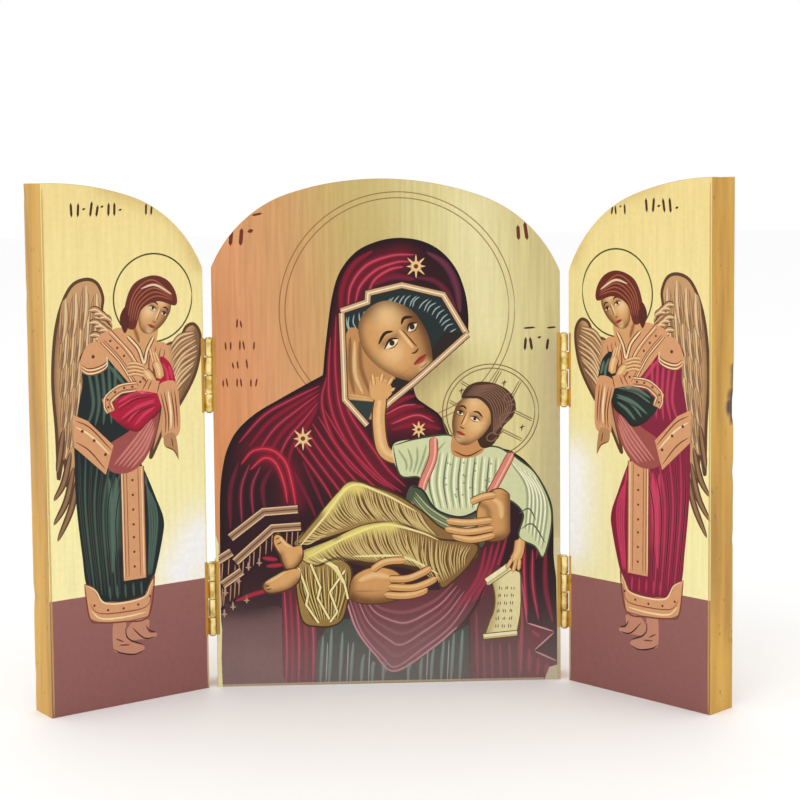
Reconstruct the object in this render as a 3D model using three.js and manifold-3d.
// A table triptych: an arched wooden centre panel with two wings that close over it like shutters.
// Each wing hangs on two small brass butt hinges, and the three panels stand on their lower edges.
// Millimetres, +Z up. The origin is the middle of the centre panel's underside, and -Y is the front.

import * as THREE from 'three';
import { mergeVertices } from 'three/addons/utils/BufferGeometryUtils.js';
import Module from 'manifold-3d';

const wasm = await Module();
wasm.setup();

// Panels
const CENTER_WIDTH = 95.5;
const PANEL_HEIGHT = 140;
const PANEL_THICKNESS = 10.6;
const BACK_EDGE_RADIUS = 1;
const BACK_EDGE_STEPS = 3;
const SHUT_CLEARANCE = 0.6; // between the two wings when both are shut

// The arch is three arcs, sawn through all the panels at once and a little out of level
const CROWN_RADIUS = 81.6;
const CROWN_HALF_ANGLE = THREE.MathUtils.degToRad(18.5); // where the shoulder arcs take over
const SPRING_ANGLE = THREE.MathUtils.degToRad(68); // from upright to the normal, at the foot of the arch
const ARCH_SLANT = -0.022; // rise for each millimetre towards +X
const CROWN_STEPS = 7; // on each side of the middle
const SHOULDER_STEPS = 9;

// How far each wing stands forward of the centre panel's plane
const LEFT_WING_ANGLE = THREE.MathUtils.degToRad(32.3);
const RIGHT_WING_ANGLE = THREE.MathUtils.degToRad(48.4);

// Hinges
const PANEL_GAP = 2.1; // between a wing and the centre panel when they lie flat
const AXIS_PROUD = 0.6; // how far the hinge axis stands in front of the panels' faces
const HINGE_LENGTH = 20;
const LOWER_HINGE_HEIGHT = 25; // the middle of the hinge above the base
const UPPER_HINGE_HEIGHT = 87;
const BARREL_RADIUS = 1.1;
const LEAF_THICKNESS = 0.6;
const LEAF_DEPTH = 6; // from the axis to the leaf's back edge
const KNUCKLE_COUNT = 4;
const KNUCKLE_GAP = 0.3;
const PIN_RADIUS = 0.5;
const PIN_CLEARANCE = 0.09;
const PIN_HEAD_RADIUS = 0.85;
const PIN_HEAD_HEIGHT = 0.4;
const LEAF_BEDDING = 0.25; // between a leaf and the recess it lies in
const SCOOP_RADIUS = 1.9; // of the hollow that frees the barrel
const ROUND_STEPS = 16;

// Nails, two in each leaf, with flat countersunk heads
const NAIL_LENGTH = 7;
const NAIL_RADIUS = 0.45;
const NAIL_HEAD_RADIUS = 0.95;
const NAIL_CLEARANCE = 0.15;
const NAIL_SPACING = 11;
const NAIL_INSET = 2.2; // from the leaf's back edge to the nail's axis
const NAIL_STEPS = 10;

// What follows from those sizes
const wingWidth = (CENTER_WIDTH - SHUT_CLEARANCE) / 2;
const frontY = -PANEL_THICKNESS / 2;
const axisX = (CENTER_WIDTH + PANEL_GAP) / 2;
const axisY = frontY - AXIS_PROUD;
const crownReach = CROWN_RADIUS * Math.sin(CROWN_HALF_ANGLE);
const shoulderRadius = (CENTER_WIDTH / 2 - crownReach)
  / (Math.sin(SPRING_ANGLE) - Math.sin(CROWN_HALF_ANGLE));
const shoulderOffset = CROWN_RADIUS - shoulderRadius;
const shoulderX = shoulderOffset * Math.sin(CROWN_HALF_ANGLE);
const shoulderZ = PANEL_HEIGHT - CROWN_RADIUS + shoulderOffset * Math.cos(CROWN_HALF_ANGLE);
const hingeHeights = { lower: LOWER_HINGE_HEIGHT, upper: UPPER_HINGE_HEIGHT };
const nailHeights = { top: NAIL_SPACING / 2, bottom: -NAIL_SPACING / 2 };

const paintedWood = new THREE.MeshStandardMaterial({ color: 0xc79a48, roughness: 0.6, metalness: 0 });
const brass = new THREE.MeshStandardMaterial({ color: 0xd9b760, roughness: 0.3, metalness: 1 });

// A closed geometry becomes a solid that can be cut and joined.
function toSolid(geometry) {
  const bare = geometry.index ? geometry.toNonIndexed() : geometry.clone();
  bare.deleteAttribute('normal');
  bare.deleteAttribute('uv');
  const merged = mergeVertices(bare, 1e-4);
  return new wasm.Manifold(new wasm.Mesh({
    numProp: 3,
    vertProperties: new Float32Array(merged.attributes.position.array),
    triVerts: new Uint32Array(merged.index.array),
  }));
}

function solidMesh(name, solid, material) {
  const { vertProperties, triVerts } = solid.getMesh();
  const geometry = new THREE.BufferGeometry();
  geometry.setAttribute('position', new THREE.BufferAttribute(new Float32Array(vertProperties), 3));
  geometry.setIndex(new THREE.BufferAttribute(new Uint32Array(triVerts), 1));
  geometry.computeVertexNormals();
  const mesh = new THREE.Mesh(geometry, material);
  mesh.name = name;
  return mesh;
}

function boxBetween([x0, y0, z0], [x1, y1, z1]) {
  const box = new THREE.BoxGeometry(Math.abs(x1 - x0), Math.abs(y1 - y0), Math.abs(z1 - z0));
  return toSolid(box.translate((x0 + x1) / 2, (y0 + y1) / 2, (z0 + z1) / 2));
}

function uprightCylinder(radius, lowZ, highZ) {
  const cylinder = new THREE.CylinderGeometry(radius, radius, highZ - lowZ, ROUND_STEPS);
  return toSolid(cylinder.rotateX(Math.PI / 2).translate(0, 0, (lowZ + highZ) / 2));
}

// A turned shape about +Z, from a profile of [radius, height] pairs.
function turned(profile, steps) {
  const points = profile.map(([radius, height]) => new THREE.Vector2(radius, height));
  return new THREE.LatheGeometry(points, steps).rotateX(Math.PI / 2);
}

// Height of the arch above the base, at a place across the centre panel.
function archHeight(x) {
  const across = Math.abs(x);
  const slant = ARCH_SLANT * x;
  if (across <= crownReach) {
    return PANEL_HEIGHT - CROWN_RADIUS + Math.sqrt(CROWN_RADIUS ** 2 - across ** 2) + slant;
  }
  return shoulderZ + Math.sqrt(shoulderRadius ** 2 - (across - shoulderX) ** 2) + slant;
}

// The outline under the arch between two places across the centre panel, as the boards are sawn.
function sawnOutline(fromX, toX) {
  const stations = [0];
  for (let i = 1; i <= CROWN_STEPS; i += 1) {
    const x = CROWN_RADIUS * Math.sin((CROWN_HALF_ANGLE * i) / CROWN_STEPS);
    stations.push(x, -x);
  }
  for (let i = 1; i < SHOULDER_STEPS; i += 1) {
    const angle = THREE.MathUtils.lerp(CROWN_HALF_ANGLE, SPRING_ANGLE, i / SHOULDER_STEPS);
    const x = shoulderX + shoulderRadius * Math.sin(angle);
    stations.push(x, -x);
  }
  // A corner closer to the outline's end than the edge rounding would fold over in the rounding.
  const closest = 1.2 * BACK_EDGE_RADIUS;
  const point = (x) => new THREE.Vector2(x, archHeight(x));
  const inside = stations.filter((x) => x > fromX && x < toX)
    .map(point)
    .filter((corner) => corner.distanceTo(point(fromX)) > closest)
    .filter((corner) => corner.distanceTo(point(toX)) > closest)
    .sort((a, b) => b.x - a.x);
  return [new THREE.Vector2(fromX, 0), new THREE.Vector2(toX, 0), point(toX), ...inside, point(fromX)];
}

// A board with that outline. Its back edges are rounded, and its front is flat with sharp edges.
function board(outline) {
  const blank = new THREE.ExtrudeGeometry(new THREE.Shape(outline), {
    depth: PANEL_THICKNESS,
    bevelThickness: BACK_EDGE_RADIUS,
    bevelSize: BACK_EDGE_RADIUS,
    bevelOffset: -BACK_EDGE_RADIUS,
    bevelSegments: BACK_EDGE_STEPS,
  });
  blank.rotateX(Math.PI / 2).translate(0, PANEL_THICKNESS / 2 - BACK_EDGE_RADIUS, 0);
  const reach = 2 * (CENTER_WIDTH + PANEL_HEIGHT);
  const waste = boxBetween([-reach, frontY - reach, -reach], [reach, frontY, reach]);
  return toSolid(blank).subtract(waste);
}

// A nail's profile below its head, thicker all round by extra, with its head's top at height 0.
function nailProfile(extra) {
  return [
    [0, -NAIL_LENGTH - extra],
    [NAIL_RADIUS + extra, -NAIL_LENGTH + 2 * NAIL_RADIUS - extra],
    [NAIL_RADIUS + extra, -LEAF_THICKNESS],
    [NAIL_HEAD_RADIUS + extra, 0],
  ];
}

function nail() {
  return toSolid(turned([...nailProfile(0), [0, 0]], NAIL_STEPS));
}

function nailHole() {
  const top = LEAF_THICKNESS / 2;
  const throat = NAIL_HEAD_RADIUS + NAIL_CLEARANCE;
  return turned([...nailProfile(NAIL_CLEARANCE), [throat, top], [0, top]], NAIL_STEPS);
}

// Where a nail goes, about the hinge's axis. It is driven towards +X for side 1 and -X for side -1,
// until its head is flush with the leaf's inner face.
function nailPlace(side, height) {
  const turn = new THREE.Matrix4().makeRotationY((-side * Math.PI) / 2);
  const headX = side * (BARREL_RADIUS - LEAF_THICKNESS);
  return turn.setPosition(headX, LEAF_DEPTH - NAIL_INSET, height);
}

// What a hinge needs cut from the board on that side of its axis: a shallow recess for the leaf, a
// hollow for the barrel and the nail holes.
function hingeCut(side, height) {
  const low = height - HINGE_LENGTH / 2 - LEAF_BEDDING;
  const high = height + HINGE_LENGTH / 2 + LEAF_BEDDING;
  const recess = boxBetween(
    [0, -2 * AXIS_PROUD, low],
    [side * (BARREL_RADIUS + LEAF_BEDDING), LEAF_DEPTH + LEAF_BEDDING, high],
  );
  let cut = recess.add(uprightCylinder(SCOOP_RADIUS, low, high));
  for (const offset of Object.values(nailHeights)) {
    cut = cut.add(toSolid(nailHole().applyMatrix4(nailPlace(side, height + offset))));
  }
  return cut;
}

// One hinge leaf: a plate with every second knuckle, counted from the top, starting with first.
function leaf(side, first) {
  const inner = side * (BARREL_RADIUS - LEAF_THICKNESS);
  const outer = side * BARREL_RADIUS;
  const plateFrontY = BARREL_RADIUS + KNUCKLE_GAP;
  const pitch = HINGE_LENGTH / KNUCKLE_COUNT;
  let solid = boxBetween(
    [inner, plateFrontY, -HINGE_LENGTH / 2],
    [outer, LEAF_DEPTH, HINGE_LENGTH / 2],
  );
  for (let index = first; index < KNUCKLE_COUNT; index += 2) {
    const top = HINGE_LENGTH / 2 - index * pitch - KNUCKLE_GAP / 2;
    const bottom = top - pitch + KNUCKLE_GAP;
    const neck = boxBetween([inner, 0, bottom], [outer, plateFrontY + LEAF_THICKNESS, top]);
    solid = solid.add(uprightCylinder(BARREL_RADIUS, bottom, top)).add(neck);
  }
  solid = solid.subtract(uprightCylinder(PIN_RADIUS + PIN_CLEARANCE, -HINGE_LENGTH, HINGE_LENGTH));
  for (const offset of Object.values(nailHeights)) {
    solid = solid.subtract(toSolid(nailHole().applyMatrix4(nailPlace(side, offset))));
  }
  return solid;
}

// The hinge pin, with a low head beyond the knuckles at each end.
function hingePin() {
  const end = HINGE_LENGTH / 2 + PIN_CLEARANCE;
  const upper = [
    [PIN_RADIUS, end],
    [PIN_HEAD_RADIUS, end],
    [PIN_HEAD_RADIUS, end + PIN_HEAD_HEIGHT / 2],
    [PIN_RADIUS, end + PIN_HEAD_HEIGHT],
    [0, end + PIN_HEAD_HEIGHT],
  ];
  const lower = upper.map(([radius, height]) => [radius, -height]).reverse();
  return toSolid(turned([...lower, ...upper], ROUND_STEPS));
}

// Adds the leaf of one hinge and its nails to a group whose origin is on the hinge's axis.
function addLeaf(group, name, side, first, height) {
  const plate = solidMesh(`${name}_leaf`, leaf(side, first), brass);
  plate.position.z = height;
  group.add(plate);
  for (const [end, offset] of Object.entries(nailHeights)) {
    const mesh = solidMesh(`${name}_${end}_nail`, nail(), brass);
    mesh.applyMatrix4(nailPlace(side, height + offset));
    group.add(mesh);
  }
}

// The centre panel with its leaves, and the pins of all the hinges.
function centerGroup() {
  const group = new THREE.Group();
  let panel = board(sawnOutline(-CENTER_WIDTH / 2, CENTER_WIDTH / 2));
  for (const [name, side] of [['left', -1], ['right', 1]]) {
    const onAxis = new THREE.Group();
    onAxis.position.set(side * axisX, axisY, 0);
    for (const [level, height] of Object.entries(hingeHeights)) {
      panel = panel.subtract(hingeCut(-side, height).translate([side * axisX, axisY, 0]));
      addLeaf(onAxis, `${name}_${level}_hinge_center`, -side, 0, height);
      const pin = solidMesh(`${name}_${level}_hinge_pin`, hingePin(), brass);
      pin.position.z = height;
      onAxis.add(pin);
    }
    group.add(onAxis);
  }
  group.add(solidMesh('center_panel', panel, paintedWood));
  return group;
}

// A wing with its leaves, in a group on the hinge axis: side -1 is the left wing. Shut, it covers its
// half of the centre panel, so its outline is that half turned over about the hinge axis.
function wingGroup(name, side, angle) {
  const group = new THREE.Group();
  group.position.set(side * axisX, axisY, 0);
  group.rotation.z = -side * angle;
  const meeting = (side * SHUT_CLEARANCE) / 2;
  const far = meeting + side * wingWidth;
  const covered = sawnOutline(Math.min(meeting, far), Math.max(meeting, far));
  const opened = covered.map(({ x, y }) => new THREE.Vector2(2 * side * axisX - x, y)).reverse();
  let panel = board(opened).translate([-side * axisX, -axisY, 0]);
  for (const [level, height] of Object.entries(hingeHeights)) {
    panel = panel.subtract(hingeCut(side, height));
    addLeaf(group, `${name}_${level}_hinge_wing`, side, 1, height);
  }
  group.add(solidMesh(`${name}_wing_panel`, panel, paintedWood));
  return group;
}

const triptych = new THREE.Group();
triptych.add(centerGroup());
triptych.add(wingGroup('left', -1, LEFT_WING_ANGLE));
triptych.add(wingGroup('right', 1, RIGHT_WING_ANGLE));

export default triptych;
